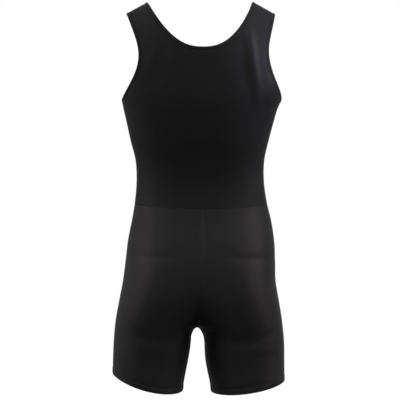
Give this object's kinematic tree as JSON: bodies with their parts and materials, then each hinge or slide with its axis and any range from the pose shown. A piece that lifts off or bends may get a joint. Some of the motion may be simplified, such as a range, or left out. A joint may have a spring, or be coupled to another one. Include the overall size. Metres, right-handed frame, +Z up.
{
  "type": "rowing unisuit",
  "caption": "Sleeveless black rowing unisuit with a round scoop neck, wide straps and mid-thigh legs, filled out as worn.",
  "frame": {"origin": "midway between the two straps, on the middle of the suit's depth there, at the height where the neck opening ends on the right shoulder seam", "axes": "+Z up along the wearer's back, from the leg hems to the shoulders; +X towards the wearer's right; +Y towards the front of the suit"},
  "size_m": [0.3791, 0.2402, 0.8599],
  "materials": {
    "bodice_knit": "matt",
    "shorts_knit": "satin",
    "binding_knit": "matt",
    "hem_knit": "matt"
  },
  "bodies": {
    "root": {"bodice_back": "bodice_knit", "bodice_front": "bodice_knit", "shorts_left": "shorts_knit", "shorts_right": "shorts_knit", "neck_binding": "binding_knit", "armhole_binding_left": "binding_knit", "armhole_binding_right": "binding_knit", "leg_hem_left": "hem_knit", "leg_hem_right": "hem_knit"}
  },
  "joints": []
}
